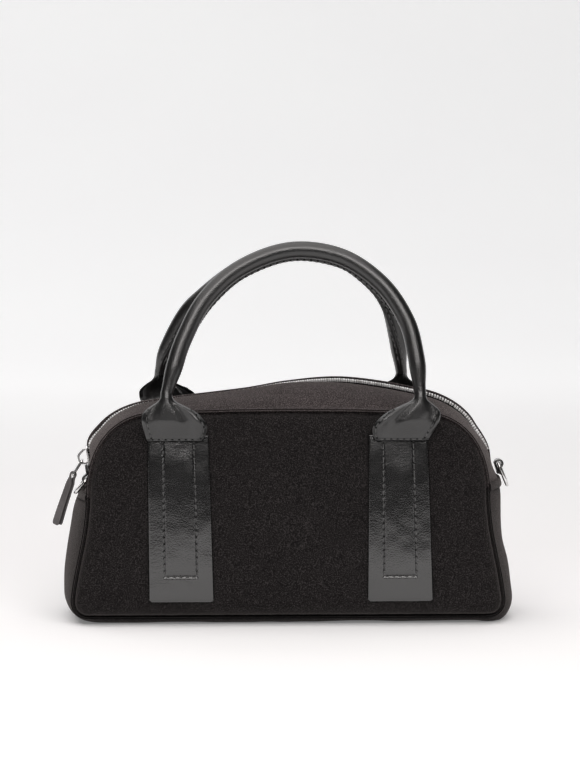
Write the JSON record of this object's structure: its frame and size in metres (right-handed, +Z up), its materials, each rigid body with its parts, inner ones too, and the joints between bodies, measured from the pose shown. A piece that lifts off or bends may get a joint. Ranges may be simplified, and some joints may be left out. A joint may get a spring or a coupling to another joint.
{
  "type": "handbag",
  "caption": "Small suede bowling bag with a domed zip top, rolled leather handles on stitched tabs, wire D-rings and a leather zip pull.",
  "frame": {"origin": "middle of the flat underside, on the surface the bag stands on", "axes": "+X to the right of someone facing the front, +Y from front to back, +Z up"},
  "size_m": [0.3075, 0.14, 0.2525],
  "materials": {
    "suede": "napped",
    "leather": "satin",
    "pull_leather": "matte",
    "zip_tape": "woven",
    "metal": "polished"
  },
  "bodies": {
    "bag": {"front_panel": "suede", "back_panel": "suede", "gusset": "suede", "zip_panel_front": "suede", "zip_panel_back": "suede", "side_band_left": "suede", "side_band_right": "suede", "zip_tape_front": "zip_tape", "zip_tape_back": "zip_tape", "zip_teeth": "metal", "zip_slider": "metal", "d_ring_loop_left": "leather", "d_ring_loop_right": "leather", "front_handle": "leather", "back_handle": "leather", "handle_tab_front_left": "leather", "handle_tab_front_right": "leather", "handle_tab_back_left": "leather", "handle_tab_back_right": "leather"},
    "pull": {"zip_pull_link": "metal", "zip_pull": "pull_leather"},
    "left_ring": {"d_ring_left": "metal"},
    "right_ring": {"d_ring_right": "metal"}
  },
  "joints": [
    {"name": "pull_swing", "type": "hinge", "parent": "bag", "child": "pull", "pos_m": [-0.13635, 0, 0.10448], "axis": [0, 1, 0], "range_deg": [0, 140]},
    {"name": "left_ring_swing", "type": "hinge", "parent": "bag", "child": "left_ring", "pos_m": [-0.1336, 0, 0.092], "axis": [0, 1, 0], "range_deg": [-1, 4]},
    {"name": "right_ring_swing", "type": "hinge", "parent": "bag", "child": "right_ring", "pos_m": [0.143, 0, 0.1015], "axis": [-0.0698, -0.9976, 0], "range_deg": [0, 120]}
  ]
}
